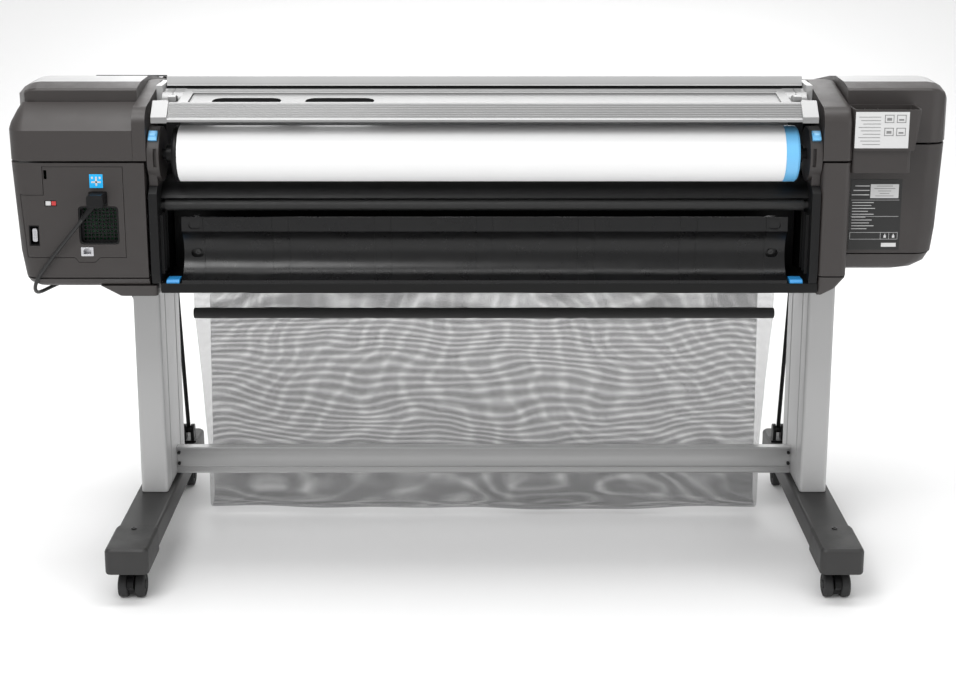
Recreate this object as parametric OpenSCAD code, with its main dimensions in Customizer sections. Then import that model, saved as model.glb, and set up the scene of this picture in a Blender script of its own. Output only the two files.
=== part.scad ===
// Large format roll plotter on a stand, rear loading.
// +Z up, origin on the floor under the middle of the footprint.
// The operator stands at -Y, the paper roll is on the +Y side.

/* [Overall] */
// Height of the top ridge above the floor
overall_h = 998; // [994:1:1002]
// Half of the overall width
half_w = 901.5; // [899:0.5:904]
// Length of the stand's feet, front to back
foot_l = 695; // [690:1:700]

/* [Stand] */
// Distance of each foot and post from the stand's middle
foot_x = 684; // [682:1:686]
// Width of a foot's end cap
cap_w = 84; // [82:1:86]
// Width of a post
post_w = 55; // [50:1:56]
// Depth of a post
post_d = 216; // [200:1:220]
// Diameter of a caster wheel
wheel_d = 48; // [44:1:50]

/* [Basket] */
// Half of the basket's width
basket_hw = 592; // [560:1:600]
// Height of the lowest point of the basket
basket_low = 14; // [12:1:24]

/* [Roll] */
// Length of the paper roll
roll_l = 1118; // [1100:1:1118]
// Outside diameter of the paper roll
roll_d = 104; // [90:1:106]
// Height of the roll's axis
roll_z = 867; // [865:1:869]
// Distance of the roll's axis behind the middle
roll_y = 248; // [247:1:249]

/* [Cord] */
// Diameter of the mains cord
cord_d = 7; // [6.5:0.5:7.5]

/* [Hidden] */

bay_x = -13.5;            // the stand's middle lies this far to the left
round_n = 48;             // facets asked of every true circle
e = 0.3;                  // clearance between pieces that move apart

foot_y = foot_l / 2;
cap_l = 125;
cap_base = 67;
cap_top = 118;
beam_top = 114;
caster_y = foot_y - 69;
caster_trail = 15;
wheel_r = wheel_d / 2;
post_y0 = 42 - post_d;
post_x = foot_x;
brace_y = -68;

base_z = 609.6;
post_top = base_z;
base_top = 628;
bay_hw = 604;             // half of the clear width between the side walls
rear_y = 300;             // rearmost face of the machine
shell_y = 235;            // rear face of the upper shells
front_y = -300;
inner_x = 625;            // inner side of both housings
side_x = half_w - bay_x;  // outer side of the right housing
left_x = half_w + bay_x;  // outer side of the left housing
joint_z = 862;            // groove between the lower bodies and the covers
wall = 4;

cover_pin = [150, 966];   // hinge of the roll cover, as y and z
window_pin = [84, 974];   // hinge of the front window
lever_pin_r = 51;
frame_pin = [-262, 144];  // hinge of the basket's front frame
feed_pin = [-20, 786];
entry_pin = [256, 770.5];
control_pin = [-262, 932];

function corner(cx, cy, r, a0, a1, n = 8) =
    [for (i = [0:n]) let (a = a0 + (a1 - a0) * i / n) [cx + r * cos(a), cy + r * sin(a)]];

function rounded_box(x0, y0, x1, y1, r, n = 5) = concat(
    corner(x1 - r, y1 - r, r, 0, 90, n), corner(x0 + r, y1 - r, r, 90, 180, n),
    corner(x0 + r, y0 + r, r, 180, 270, n), corner(x1 - r, y0 + r, r, 270, 360, n));

// Everything is drawn about the stand's middle and moved to the frame at the end.
module bay() { translate([bay_x, 0, 0]) children(); }
module both_sides() { children(); mirror([1, 0, 0]) children(); }
module slab(points, z0, z1) { translate([0, 0, z0]) linear_extrude(z1 - z0) polygon(points); }
module box(lo, hi) { translate(lo) cube(hi - lo); }
// A y-z outline pushed along x.
module along_x(points, x0, x1) {
    translate([x0, 0, 0]) rotate([90, 0, 90]) linear_extrude(x1 - x0) polygon(points);
}
// An x-z outline pushed along y.
module along_y(points, y0, y1) {
    translate([0, y1, 0]) rotate([90, 0, 0]) linear_extrude(y1 - y0) polygon(points);
}
module rod_x(r, x0, x1, y, z, n = round_n) {
    translate([x0, y, z]) rotate([0, 90, 0]) cylinder(r = r, h = x1 - x0, $fn = n);
}
module tube_x(r, hole_r, x0, x1, y, z) {
    difference() {
        rod_x(r, x0, x1, y, z);
        rod_x(hole_r, x0 - 1, x1 + 1, y, z);
    }
}

// ---------------------------------------------------------------- stand

module foot_beams() {
    color([0.23, 0.22, 0.22]) bay() both_sides() difference() {
        along_y(rounded_box(foot_x - 39, cap_base, foot_x + 39, beam_top, 6),
                -foot_y + cap_l, foot_y - cap_l);
        along_y(rounded_box(foot_x - 35, cap_base + 4, foot_x + 35, beam_top - 4, 3),
                -foot_y + cap_l - 1, foot_y - cap_l + 1);
    }
}

function cap_plan(inset) =
    rounded_box(foot_x - cap_w / 2 + inset, foot_y - cap_l + inset / 3,
                foot_x + cap_w / 2 - inset, foot_y - inset, 12 - inset / 2, 6);

module end_cap() {
    difference() {
        hull() {
            slab(cap_plan(1), cap_base, cap_base + 2);
            slab(cap_plan(0), cap_base + 3, cap_top - 7);
            slab(cap_plan(1.5), cap_top - 7, cap_top - 3);
            slab(cap_plan(5), cap_top - 3, cap_top);
        }
        box([foot_x - cap_w / 2 + 5, foot_y - cap_l + 5, cap_base - 1],
            [foot_x + cap_w / 2 - 5, foot_y - 6, cap_top - 8]);
    }
    translate([foot_x, caster_y, cap_base]) difference() {
        cylinder(r = 16, h = cap_top - cap_base - 7.5, $fn = round_n);
        translate([0, 0, -1]) cylinder(r = 5.55, h = 32, $fn = round_n);
    }
}

module foot_end_caps() {
    color([0.27, 0.26, 0.26]) bay() both_sides() {
        end_cap();
        mirror([0, 1, 0]) end_cap();
    }
}

// The swivel's stem, web and axle; the axle trails towards the foot's end.
module caster_fork(sx, sy) {
    color([0.1, 0.1, 0.1]) bay() translate([sx * foot_x, sy * caster_y, 0]) {
        translate([0, 0, cap_base - 8]) cylinder(r = 19, h = 7.5, $fn = round_n);
        translate([0, 0, cap_base - 3]) cylinder(r = 5.5, h = 33, $fn = round_n);
        translate([0, 0, 50]) cylinder(r = 14, h = 10, $fn = round_n);
        translate([0, sy * caster_trail, 0]) {
            difference() {
                along_x(concat(corner(0, wheel_r, wheel_r + 5, 8, 172, 14),
                               corner(0, wheel_r, wheel_r - 5, 196, 344, 8)), -6, 6);
                translate([0, -sy * caster_trail, cap_base - 0.5])
                    cylinder(r = 30, h = 10, $fn = round_n);
            }
            rod_x(4, -27, 27, 0, wheel_r);
        }
    }
}

module twin_wheels(sx, sy) {
    color([0.16, 0.16, 0.16]) bay()
        translate([sx * foot_x, sy * (caster_y + caster_trail), wheel_r]) both_sides()
            rotate([0, 90, 0]) rotate_extrude($fn = 64) polygon([
                [4.05, 7], [wheel_r - 5, 7], [wheel_r - 1.5, 7.6], [wheel_r, 9.5], [wheel_r, 22.5],
                [wheel_r - 1.5, 25], [wheel_r - 5, 26], [wheel_r - 6, 24], [9, 24], [8, 26.5], [4.05, 26.5]]);
}

function post_groove(x, side) =
    [for (y = [post_y0 + post_d / 4, post_y0 + post_d * 3 / 4]) [x, y, side]];

module posts() {
    color([0.72, 0.72, 0.72]) bay() both_sides() difference() {
        slab(rounded_box(post_x - post_w / 2, post_y0, post_x + post_w / 2, post_y0 + post_d, 7),
             beam_top, post_top);
        slab(rounded_box(post_x - post_w / 2 + 6, post_y0 + 5, post_x + post_w / 2 - 6,
                         post_y0 + post_d - 5, 2), beam_top - 1, post_top + 1);
        for (g = concat(post_groove(post_x - post_w / 2, -1), post_groove(post_x + post_w / 2, 1)))
            box([g[0] - 2.5, g[1] - 3, beam_top - 1], [g[0] + 2.5, g[1] + 3, post_top + 1]);
    }
}

// Extruded brace: a lip along the top and bottom, a slightly hollow web between them.
module cross_brace() {
    inner = post_x - post_w / 2;
    color([0.70, 0.70, 0.70]) bay() difference() {
        along_x(concat(
            [[brace_y - 20, 172.5], [brace_y - 1, 172.5], [brace_y, 171.5], [brace_y, 168.5],
             [brace_y - 3.5, 167.5]],
            [for (i = [1:7]) let (t = i / 8) [brace_y - 3.5 - 3.5 * sin(180 * t), 167.5 - 38 * t]],
            [[brace_y - 3.5, 129.5], [brace_y, 128.5], [brace_y, 126], [brace_y - 2, 125],
             [brace_y - 2, 116.5], [brace_y, 115.5], [brace_y, 114.5], [brace_y - 20, 114.5]]),
            -inner, inner);
        along_x([[brace_y - 17, 118], [brace_y - 10, 118], [brace_y - 10, 169], [brace_y - 17, 169]],
                -inner - 1, inner + 1);
    }
}

// One screw head with a hexagon socket, pointing along +z.
module screw_head(r, h) {
    difference() {
        cylinder(r = r, h = h, $fn = round_n);
        translate([0, 0, h / 2]) cylinder(r = r / 2, h = h, $fn = 6);
    }
}

// Cap screws on the feet, bolts at the ends of the brace, screws of the rear panel.
module fasteners() {
    color([0.5, 0.5, 0.5]) bay() both_sides() {
        for (y = [-242, 242]) translate([foot_x + 4, y, cap_top]) screw_head(5.5, 2.2);
        for (z = [136, 160])
            translate([post_x - post_w / 2 - 5, brace_y - 4.3, z])
                rotate([-90, 0, 0]) screw_head(3.4, 5);
        for (z = panel_screw_z)
            translate([540, 242, z]) rotate([-90, 0, 0]) screw_head(5, 3);
    }
}

// --------------------------------------------------------------- basket

sling_t = 2.4;
rear_top = [13, 484];
front_top = [-186, 493];
bar_y = -186;

// Middle line of the sling from under the rear rod, round the fold, to the front frame.
function sling_line() = concat(
    [rear_top, [-14, 415], [-40, 340], [-67, 250], [-86, 190], [-91.5, 165], [-92, 112]],
    corner(-124, basket_low + 32 + sling_t / 2, 32, 350, 190, 12),
    [[-157, 100], [-166, 250], front_top]);

function shifted(line, d) = [for (i = [0:len(line) - 1]) let (
    a = line[max(i - 1, 0)], b = line[min(i + 1, len(line) - 1)],
    l = norm(b - a)) [line[i][0] - d * (b[1] - a[1]) / l, line[i][1] + d * (b[0] - a[0]) / l]];

function reversed(list) = [for (i = [len(list) - 1:-1:0]) list[i]];

module basket_fabric() {
    line = sling_line();
    color([0.45, 0.45, 0.45]) bay() {
        along_x(concat(shifted(line, sling_t / 2), reversed(shifted(line, -sling_t / 2))),
                -basket_hw, basket_hw);
        along_x([[12, 503], [14.4, 503], [20.4, 601], [18, 601]], -basket_hw, basket_hw);
    }
}

module basket_rear_rod() {
    color([0.08, 0.08, 0.08]) bay() tube_x(9, 7, -basket_hw - 1, basket_hw + 1, 13.4, 493.7);
}

// Two arms and the bar that holds the sling's front edge, bent from one tube.
module basket_front_frame() {
    arm_x = 663;
    arm = [bar_y - frame_pin[0], 500 - frame_pin[1]];
    color([0.1, 0.1, 0.1]) bay() {
        rod_x(4.5, -arm_x, arm_x, bar_y, 500, 24);
        both_sides() {
            translate([arm_x, frame_pin[0], frame_pin[1]]) rotate([-atan2(arm[0], arm[1]), 0, 0])
                cylinder(r = 4.5, h = norm(arm), $fn = 24);
            translate([arm_x, bar_y, 500]) sphere(r = 5.4, $fn = 24);
            rod_x(7, arm_x - 5, arm_x + 5, frame_pin[0], frame_pin[1]);
            rod_x(3, arm_x - 13.5, arm_x + 13.5, frame_pin[0], frame_pin[1]);
        }
    }
}

// The rail that the sling hangs from, and the clips that carry the front frame.
module basket_holders() {
    color([0.15, 0.15, 0.15]) bay()
        box([-basket_hw - 4, 15, 601.2], [basket_hw + 4, 23, base_z]);
    color([0.07, 0.07, 0.07]) bay() both_sides() difference() {
        union() {
            box([646, -280, cap_top], [680, -248, cap_top + 4]);
            for (x = [650, 668.5])
                along_x(concat([[-278, cap_top]], corner(frame_pin[0], frame_pin[1], 13, 180, 0, 10),
                               [[-250, cap_top]]), x, x + 7.5);
        }
        rod_x(3.06, 640, 690, frame_pin[0], frame_pin[1]);
    }
}

// ------------------------------------------------------------- chassis

module base_tray() {
    color([0.06, 0.06, 0.06]) bay() {
        difference() {
            box([-622, -230, base_z], [622, 292, base_top]);
            box([-619, -227, base_z + 3], [619, 288, base_top - 3]);
            box([bay_hw + 0.6, 200, base_z - 1], [630, 300, base_top + 1]);
        }
        both_sides() box([621, -180, base_z], [711, 42, base_z + 10]);
    }
}

module chassis_beam() {
    color([0.5, 0.5, 0.52]) bay() difference() {
        box([-600, 70, base_top], [600, 150, 760]);
        box([-601, 73, base_top + 3], [601, 147, 757]);
    }
}

panel_hw = 565;
panel_screw_z = [678, 736];
// Rear face of the concave panel: an upright band, a hollow sweep and a bottom lip.
function panel_line(d) = concat(
    [[273 - d, 751]], corner(303 - d, 683, 50, 125, 240, 20), [[291 - d, 634], [291 - d, base_top]]);

module rear_panel() {
    color([0.09, 0.09, 0.09]) bay() {
        difference() {
            along_x(concat(panel_line(0), reversed(panel_line(4))), -panel_hw, panel_hw);
            both_sides() for (z = panel_screw_z) translate([0, 230, 0])
                along_y(rounded_box(528, z - 8, 552, z + 8, 7.9, 8), 0, 60);
            for (x = [-381, -190, 0, 190, 381], s = [-15.5, 15.5])
                along_x(concat(panel_line(-1), reversed(panel_line(1))), x + s - 0.8, x + s + 0.8);
            both_sides()
                along_x(concat(panel_line(-1), reversed(panel_line(1))), 524, 525.6);
        }
        both_sides() for (cup = [[panel_screw_z[0], 251], [panel_screw_z[1], 270.5]]) difference() {
            along_y(rounded_box(525, cup[0] - 11, 555, cup[0] + 11, 9.9, 8), 238, cup[1]);
            along_y(rounded_box(528, cup[0] - 8, 552, cup[0] + 8, 7.9, 8), 242, 270);
        }
    }
}

// Blue tabs that release the loading table's corners.
module release_tabs() {
    color([0.13, 0.5, 0.8]) bay() both_sides()
        along_x([[262, base_top], [291, base_top], [293, 631], [289, 635], [262, 635]], 570, 594);
}

module side_walls() {
    color([0.1, 0.095, 0.095]) bay() both_sides() {
        difference() {
            along_x([[-228, base_top], [292, base_top], [298, 650], [298, 800], [285, 812], [176, 812],
                     [176, 930], [60, 930], [-110, 896], [-228, 840]], bay_hw, 620);
            along_x([[22, 640], [150, 640], [150, 760], [22, 760]], bay_hw + 3, 621);
            rod_x(7.05, bay_hw - 1, 621, entry_pin[0], entry_pin[1]);
            rod_x(5.05, bay_hw - 1, 621, feed_pin[0], feed_pin[1]);
            rod_x(3.05, bay_hw - 1, 621, feed_pin[0], feed_pin[1] + 18.4);
        }
        for (y = [222, 246, 270])
            box([bay_hw - 5, y, 642], [bay_hw, y + 3, 755]);
    }
}

module loading_guide() {
    color([0.08, 0.08, 0.08]) bay() along_x(concat(
        [[160, 812]], corner(214, 758, 54, 90, 30, 10), corner(214, 758, 50, 30, 90, 10),
        [[160, 808]]), -bay_hw, bay_hw);
}

module entry_roller() {
    color([0.18, 0.18, 0.18]) bay() {
        tube_x(10, 7, -596, 596, entry_pin[0], entry_pin[1]);
        both_sides() rod_x(7, 585, 615, entry_pin[0], entry_pin[1]);
    }
}

// ---------------------------------------------------------------- roll

module spindle() {
    color([0.15, 0.15, 0.15]) bay() {
        rod_x(17, -590, 590, roll_y, roll_z);
        rod_x(10, -612, 612, roll_y, roll_z);
    }
}

module roll_core() {
    color([0.72, 0.6, 0.45]) bay()
        tube_x(31, 25.4, 6 - roll_l / 2, 6 + roll_l / 2, roll_y, roll_z);
}

module paper_roll() {
    color([0.96, 0.96, 0.96]) bay()
        tube_x(roll_d / 2, 31.05, 6 - roll_l / 2, 6 + roll_l / 2, roll_y, roll_z);
}

module stop_disc(sx, x0, hub) {
    bay() translate([x0, roll_y, roll_z]) rotate([0, sx * 90, 0]) difference() {
        union() {
            rotate_extrude($fn = 64) polygon([
                [17, 0], [roll_d / 2 - 1, 0], [roll_d / 2 + 0.5, 2], [roll_d / 2 + 0.5, hub - 4],
                [roll_d / 2 - 3, hub], [17, hub]]);
            translate([0, 0, -60]) cylinder(r = 25.3, h = 61, $fn = round_n);
        }
        translate([0, 0, -61]) cylinder(r = 17.05, h = 62 + hub, $fn = round_n);
    }
}

module blue_stop() { color([0.42, 0.74, 0.92]) stop_disc(-1, 6 - roll_l / 2, 26); }
module black_stop() { color([0.08, 0.08, 0.08]) stop_disc(1, 6 + roll_l / 2, 10); }

// Round end holders that carry the spindle's journals, each on a bracket.
module spindle_cradles() {
    color([0.13, 0.12, 0.12]) bay() both_sides() difference() {
        union() {
            rod_x(lever_pin_r, 597.5, 619.5, roll_y, roll_z);
            along_x([[roll_y - 34, 812], [roll_y + 34, 812], [roll_y + 40, 850], [roll_y - 40, 850]],
                    bay_hw, 619.5);
        }
        rod_x(10.06, 590, 613, roll_y, roll_z);
        along_x([[roll_y + 44, 850], [roll_y + 60, 850], [roll_y + 60, 884], [roll_y + 44, 884]],
                602, 608);
    }
}

// Latch lever: a curved finger that slides round the end holder.
module latch_lever(sx) {
    color([0.42, 0.74, 0.92]) bay() mirror([1 - sx, 0, 0]) {
        along_x(concat(corner(roll_y, roll_z, lever_pin_r + 5.5, 36, 58, 8),
                       corner(roll_y, roll_z, lever_pin_r + e, 58, 36, 8)), 601, 617);
        along_x(concat(corner(roll_y, roll_z, lever_pin_r + 8.5, 44, 49, 2),
                       corner(roll_y, roll_z, lever_pin_r + 5, 51, 42, 2)), 603, 615);
    }
}

// ----------------------------------------------------------- roll cover

module roll_cover() {
    color([0.72, 0.72, 0.72]) bay() {
        difference() {
            along_x([[157, 964], [157, 975], [265, 963], [265, 952]], -566, 566);
            along_x([[186, 968.3], [186, 990], [264, 990], [264, 959.5]], -548, 548);
            along_x([[175, 971], [175, 990], [178, 990], [178, 970.7]], -552, 552);
            translate([0, 0, 930]) linear_extrude(60) for (x = [442, 269])
                polygon(rounded_box(x - 64, 211, x + 64, 252, 20, 8));
        }
        both_sides() difference() {
            union() {
                along_x(concat([[152, 975], [163, 972]], corner(208, 990, 32, 215, 305, 8),
                               [[262, 965], [265, 963], [265, 950], [200, 946], [152, 957]]), 566, 607);
                rod_x(8.5, 566, 607, cover_pin[0], cover_pin[1]);
                along_x([[232, 955], [262, 952], [262, 975], [250, 977], [232, 972]], 569, 583);
            }
            rod_x(4.06, 560, 620, cover_pin[0], cover_pin[1]);
            box([586.6, 150, 962], [587.6, 268, 990]);
        }
    }
}

// Ribbed rear rail of the cover, with a handle tab and an end block at each side.
module roll_cover_rail() {
    color([0.76, 0.76, 0.76]) bay() {
        difference() {
            along_x(concat([[265, 952], [265, 966], [271, 966.5]],
                [for (i = [0:6]) each [[274 + i * 3.4, 964 - i * 3.7], [276.6 + i * 3.4, 963 - i * 3.7]]],
                [[299.5, 938], [299.5, 934], [294, 934], [290, 944], [272, 957]]), -580, 580);
            translate([-39, 0, 0]) difference() {
                along_x([[279, 990], [297, 990], [303, 944], [287, 950]], -39, 39);
                along_x([[279, 954], [287, 962], [303, 944], [287, 940]], -36, 36);
            }
        }
        both_sides() {
            along_x([[265.5, 952], [265.5, 969], [272, 969], [300, 943], [300, 932], [294, 932],
                     [288, 944]], 580, 609);
        }
    }
}

module top_bridge() {
    color([0.74, 0.74, 0.74]) bay() {
        difference() {
            along_x([[96, 962], [140, 962], [140, 979], [138.5, 980], [138.5, 984], [136, 996],
                     [130, overall_h], [118, overall_h],
                     [96, 991]], -606, 606);
            along_x([[99, 960], [137, 960], [137, 980], [99, 986]], -603, 603);
        }
        both_sides() {
            box([608, 100, 930], [619.5, 176, 984]);
            rod_x(4, 570, 612, cover_pin[0], cover_pin[1]);
            rod_x(4, 570, 612, window_pin[0], window_pin[1]);
            box([608, 70, 930], [619.5, 100, 980]);
        }
    }
}

// ------------------------------------------------------ front, carriage

window_line = [[86, 982], [40, 976], [-60, 957], [-160, 927], [-225, 896], [-252, 862]];

module front_window() {
    color([0.35, 0.35, 0.37, 0.5]) bay() {
        along_x(concat(window_line, reversed(shifted(window_line, 4))), -566, 566);
        both_sides() difference() {
            union() {
                along_x(concat(window_line, reversed(shifted(window_line, 9))), 566, bay_hw - 0.6);
                rod_x(8.5, 566, bay_hw - 0.6, window_pin[0], window_pin[1]);
            }
            rod_x(4.06, 560, 620, window_pin[0], window_pin[1]);
        }
        along_x([[-248, 864], [-254, 862], [-258, 852], [-255, 848], [-248, 850]],
                -bay_hw + 0.6, bay_hw - 0.6);
    }
}

module front_fascia() {
    color([0.27, 0.25, 0.25]) bay() difference() {
        along_x([[-230, 846], [-258, 844], [-274, 826], [-278, 806], [-230, 806]], -606, 606);
        along_x([[-234, 850], [-254, 838], [-268, 824], [-272, 812], [-234, 812]], -602, 602);
    }
}

module output_apron() {
    color([0.15, 0.15, 0.15]) bay() {
        along_x([[-190, 786], [-230, 770], [-262, 735], [-274, 690], [-274, 630], [-270, 630],
                 [-270, 691], [-259, 733], [-228, 766], [-190, 781]], 1 - bay_hw, bay_hw - 1);
        box([1 - bay_hw, -270, base_z], [bay_hw - 1, -230, base_z + 4]);
        box([1 - bay_hw, -274, base_z], [bay_hw - 1, -270, 631]);
    }
}

module platen() {
    color([0.2, 0.2, 0.2]) bay() difference() {
        box([-bay_hw, -190, 774], [bay_hw, -38, 790]);
        box([-580, -184, 770], [580, -44, 784]);
        for (i = [-18:18]) box([i * 30 - 3, -170, 788], [i * 30 + 3, -60, 792]);
    }
}

module feed_roller() {
    color([0.4, 0.4, 0.42]) bay() {
        rod_x(12, -588, 588, feed_pin[0], feed_pin[1]);
        rod_x(5, -612, 612, feed_pin[0], feed_pin[1]);
    }
}

module pinch_rollers() {
    color([0.12, 0.12, 0.12]) bay() {
        rod_x(3, -612, 612, feed_pin[0], feed_pin[1] + 18.4);
        for (i = [-5:5]) rod_x(6, i * 105 - 30, i * 105 + 30, feed_pin[0], feed_pin[1] + 18.4);
    }
}

carriage_x = 500;

module carriage() {
    color([0.14, 0.14, 0.15]) bay() difference() {
        union() {
            along_x([[-165, 800], [-40, 800], [-40, 880], [-60, 898], [-150, 898], [-165, 885]],
                    carriage_x - 80, carriage_x + 80);
            along_x(rounded_box(-44, 838, -6, 878, 6), carriage_x - 80, carriage_x + 80);
        }
        rod_x(10.06, carriage_x - 90, carriage_x + 90, -24, 858);
        for (i = [-1:1]) box([carriage_x + i * 48 - 19, -158, 860], [carriage_x + i * 48 + 19, -64, 900]);
    }
    color([0.1, 0.3, 0.6]) bay() for (i = [-1:1])
        box([carriage_x + i * 48 - 17, -156, 862], [carriage_x + i * 48 + 17, -66, 894]);
}

module carriage_rail() {
    color([0.75, 0.75, 0.78]) bay() {
        rod_x(10, -bay_hw, bay_hw, -24, 858);
        box([-bay_hw, 20, 840], [bay_hw, 24, 930]);
    }
}

// Belt and its two pulleys on the rear plate.
module carriage_drive() {
    color([0.1, 0.1, 0.1]) bay() {
        for (z = [896, 916]) box([-560, 4, z], [560, 12, z + 1.6]);
        both_sides() {
            translate([560, 12, 906.8]) rotate([90, 0, 0]) cylinder(r = 12, h = 8, $fn = round_n);
            translate([560, 20, 906.8]) rotate([90, 0, 0]) cylinder(r = 4, h = 9, $fn = round_n);
        }
    }
}

// ------------------------------------------------------------- housings

// Plan of a housing: the outer side leans out from the rear corner to the middle.
function plan(x_in, x_rear, x_mid, y_rear, y_front, r) = concat(
    [[x_in, y_front], [x_in, y_rear]],
    reversed(corner(x_rear - r, y_rear - r, r, 0, 90, 10)),
    [[x_mid, 0]],
    reversed(corner(x_mid - 60, y_front + 60, 60, -90, 0, 6)));

// Right lower body, narrowing towards its rounded bottom corner.
module right_block(i) {
    hull() {
        slab(plan(inner_x + i, 875 - i, side_x - i, rear_y - i, front_y + i, 34 - i),
             joint_z - 5 - i, joint_z - 4 - i);
        slab(plan(inner_x + i, 866 - i, side_x - 11 - i, rear_y - i, front_y + i, 34 - i), 690, 691);
        slab(plan(inner_x + i, 861 - i, side_x - 17 - i, rear_y - 1 - i, front_y + 1 + i, 32 - i), 660, 661);
        slab(plan(inner_x + i, 858 - i, side_x - 22 - i, rear_y - 2 - i, front_y + 3 + i, 30 - i),
             641 + i, 642 + i);
    }
}

// Outline of the removable panel on the right body, as x and z; g widens it.
function io_outline(g) = [
    [665 - g, 851 + g], [665 - g, 680 - g], [713, 680 - g], [723, 671 - g], [753, 671 - g],
    [760, 680 - g], [848 + g, 680 - g], [856 + g, 798 + g], [812 + g, 798 + g], [812 + g, 851 + g]];

module right_body() {
    color([0.29, 0.27, 0.26]) bay() difference() {
        right_block(0);
        right_block(wall);
        along_y(io_outline(0.6), 150, 310);
    }
}

// Plan of the deck behind the right upper shell.
function deck_plan(x_in, x, y, r, y0) = concat(
    [[x_in, y0], [x_in, y]], reversed(corner(x - r, y - r, r, 0, 90, 8)), [[x + 3, y0]]);

module right_covers() {
    color([0.31, 0.29, 0.28]) bay() {
        // deck behind the shell, with its rounded rear and outer edges
        difference() {
            hull() {
                slab(deck_plan(645, 875, rear_y, 34, 234.8), joint_z, joint_z + 1);
                slab(deck_plan(645, 876, rear_y, 34, 234.8), 917, 918);
                slab(deck_plan(645, 873, rear_y - 10, 28, 234.8), 929, 930);
                slab(deck_plan(645, 865, rear_y - 31, 20, 234.8), 947, 948);
                slab(deck_plan(645, 855, shell_y + 5, 4, 234.8), 961, 962);
            }
            hull() {
                slab(deck_plan(649, 871, rear_y - 4, 30, 230), joint_z - 1, joint_z);
                slab(deck_plan(649, 871, rear_y - 4, 30, 230), 914, 915);
                slab(deck_plan(649, 868, rear_y - 14, 24, 230), 925, 926);
                slab(deck_plan(649, 859, rear_y - 36, 14, 230), 943, 944);
                slab(deck_plan(649, 849, shell_y + 2.5, 2, 230), 955, 956);
            }
        }
        // upper shell
        difference() {
            shell_ribs(0, 645);
            shell_ribs(wall, 649);
            translate([button_at[0], front_y + 10, button_at[1]]) rotate([90, 0, 0])
                cylinder(r = 7.4, h = 20, $fn = round_n);
        }
        // brackets and pin of the touch display
        for (x = [688, 802]) box([x, control_pin[0] - 8, 915.5], [x + 9, control_pin[0] + 8, 941]);
        rod_x(4, 690, 808, control_pin[0], control_pin[1]);
        // inner trim beside the roll cover, open below
        difference() {
            along_x(arch(0), 620.4, 644.6);
            along_x(arch_hollow(), 624.4, 640.6);
        }
        // bottom cover, stepped down over the post
        difference() {
            hull() {
                slab(plan(inner_x, 857, side_x - 24, rear_y - 3, front_y + 4, 30), 637.5, 638.5);
                slab(plan(inner_x, 852, side_x - 32, rear_y - 7, front_y + 9, 27), 630, 631);
                slab(plan(inner_x, 840, side_x - 46, rear_y - 15, front_y + 20, 22), 623.5, 624.5);
                slab(plan(inner_x, 822, side_x - 66, rear_y - 28, front_y + 34, 16), 620, 621);
            }
            hull() {
                slab(plan(inner_x + 4, 850, side_x - 31, rear_y - 10, front_y + 11, 24), 637, 640);
                slab(plan(inner_x + 4, 824, side_x - 64, rear_y - 28, front_y + 34, 12), 625, 626);
            }
        }
        hull() {
            slab(rounded_box(611, 212, 718, rear_y - 9, 8), 622.5, 623.5);
            slab(rounded_box(613, 214, 685, rear_y - 16, 8), 602, 603);
        }
    }
}

// Upper shell of a housing as ribs across it: each has its rear edge and its drop.
function rib(y_rear, drop, i) = [
    [front_y + i + drop / 2, joint_z + 1], [front_y + i + drop / 2, 890 - drop / 2 - i],
    [-272 + i, 914 - drop - i], [-100, 958 - drop - i], [60, 987 - drop - i],
    [y_rear - 115, 995 - drop - i], [y_rear - 42, 994 - drop - i],
    [y_rear - 4 - i, 987 - drop - i], [y_rear - i, 983 - drop - i], [y_rear - i, joint_z + 1]];

module shell_ribs(i, x_in) {
    hull() {
        along_x(rib(shell_y, 0, i), x_in, x_in + 1);
        along_x(rib(shell_y, 0, i), 832 - i, 833 - i);
        along_x(rib(shell_y - 3, 2, i), 845 - i, 846 - i);
        along_x(rib(shell_y - 9, 6, i), 855 - i, 856 - i);
        along_x(rib(shell_y - 24, 13, i), 862 - i, 863 - i);
        along_x(rib(60, 34, i), side_x - 6 - i, side_x - 5 - i);
    }
}

// Arch beside the roll bay: upright at the rear, rounded over, then down to the front.
function arch(d) = concat(
    [[front_y + 12 + d, joint_z], [front_y + 12 + d, 876 - d], [-262 + d, 906 - d], [-100, 951 - d],
     [60, 980 - d], [120, 987 - d]],
    corner(268 - d, 928 - d / 2, 32, 80, 0, 8), [[rear_y - d, joint_z]]);

function arch_hollow() = concat([[front_y + 17, joint_z - 1]],
    [for (p = arch(4)) if (p[1] > joint_z + 1) p], [[rear_y - 4, joint_z - 1]]);

module left_body() {
    color([0.29, 0.27, 0.26]) bay() mirror([1, 0, 0]) difference() {
        left_block(0);
        left_block(wall);
        box([door_x[0] - 1, front_y - 5, door_z[0] - 4.5], [door_x[1] + 1, front_y + 10, door_z[1] + 1]);
        box([600, front_y - 5, joint_z - 1], [674.5, rear_y, 900]);
    }
    // hinge eyes and pins of the ink door
    color([0.29, 0.27, 0.26]) bay() mirror([1, 0, 0]) {
        for (x = [door_x[0] - 8, door_x[1] + 2])
            box([x, front_y - 5, door_z[0] - 4], [x + 6, front_y, door_z[0] + 4]);
        rod_x(1.5, door_x[0] - 6, door_x[0] + 12, front_y - 2, door_z[0] - 0.5);
        rod_x(1.5, door_x[1] - 12, door_x[1] + 6, front_y - 2, door_z[0] - 0.5);
    }
}

door_x = [652, 806];
door_z = [731.5, 858];

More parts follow.
